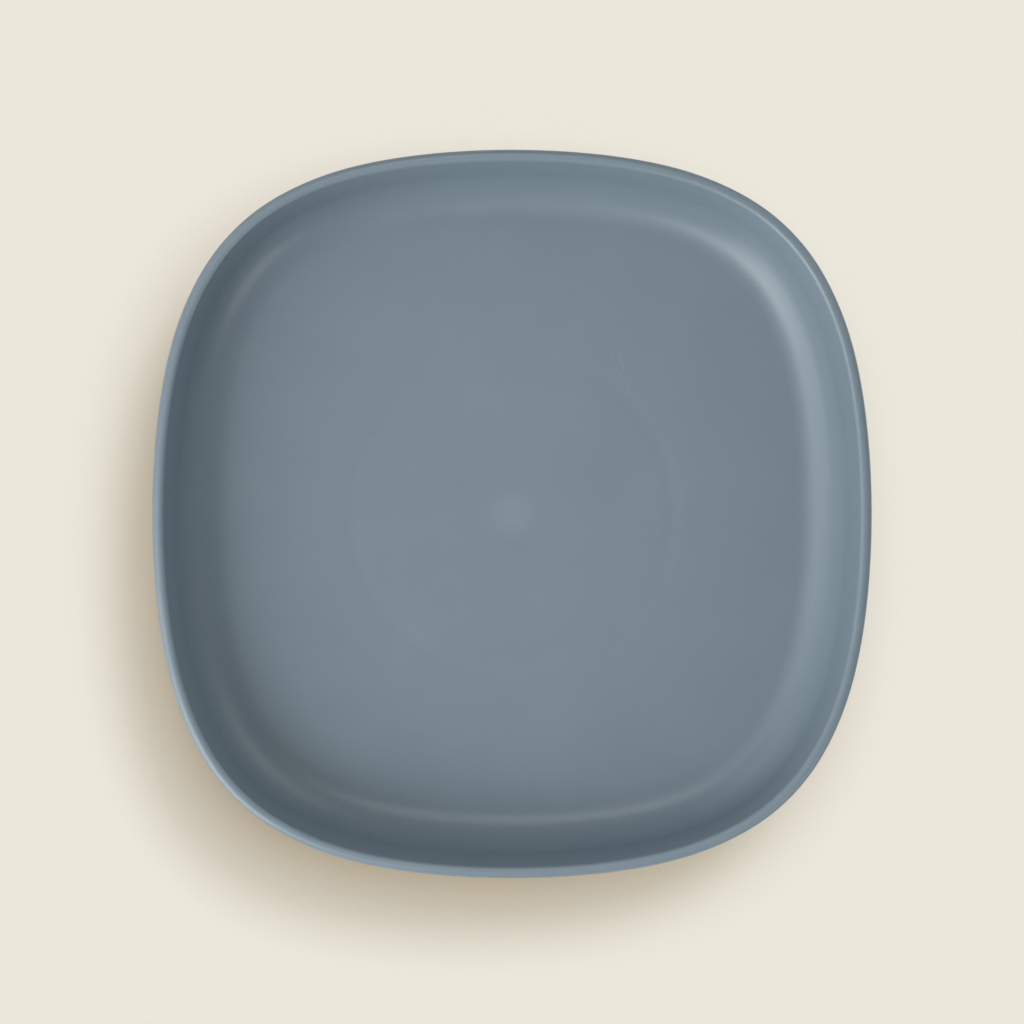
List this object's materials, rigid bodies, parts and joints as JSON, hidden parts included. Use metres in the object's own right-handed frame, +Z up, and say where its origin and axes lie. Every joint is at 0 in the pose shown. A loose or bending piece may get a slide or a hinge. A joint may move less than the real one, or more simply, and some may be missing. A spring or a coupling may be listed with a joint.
{
  "type": "suction plate",
  "caption": "Rounded-square child's plate with a raised wall, on a plug-in silicone suction foot with a release tab.",
  "frame": {"origin": "on the table, under the middle of the plate, in the plane of the suction disc's sealing face", "axes": "+Z up out of the dish, +Y along the plate's slightly longer side, the release tab points to -Y"},
  "size_m": [0.18, 0.1822, 0.0419],
  "materials": {
    "plate": "satin moulded plastic",
    "silicone": "matt soft silicone"
  },
  "bodies": {
    "suction_disc": {"suction_disc": "silicone"},
    "foot_hub": {"foot_hub": "silicone"},
    "plate": {"plate": "plate"},
    "release_tab": {"release_tab": "silicone"}
  },
  "joints": [
    {"name": "cup_press", "type": "slide", "parent": "suction_disc", "child": "foot_hub", "axis": [0, 0, -1], "range_m": [0, 0.0035], "stiffness_N_per_m": 6000, "springref_m": -0.0003},
    {"name": "plate_lift", "type": "slide", "parent": "foot_hub", "child": "plate", "axis": [0, 0, 1], "range_m": [0, 0.025]},
    {"name": "tab_lift", "type": "hinge", "parent": "suction_disc", "child": "release_tab", "pos_m": [0, -0.046, 0.0015], "axis": [-1, 0, 0], "range_deg": [0, 22], "stiffness_Nm_per_rad": 0.005}
  ]
}
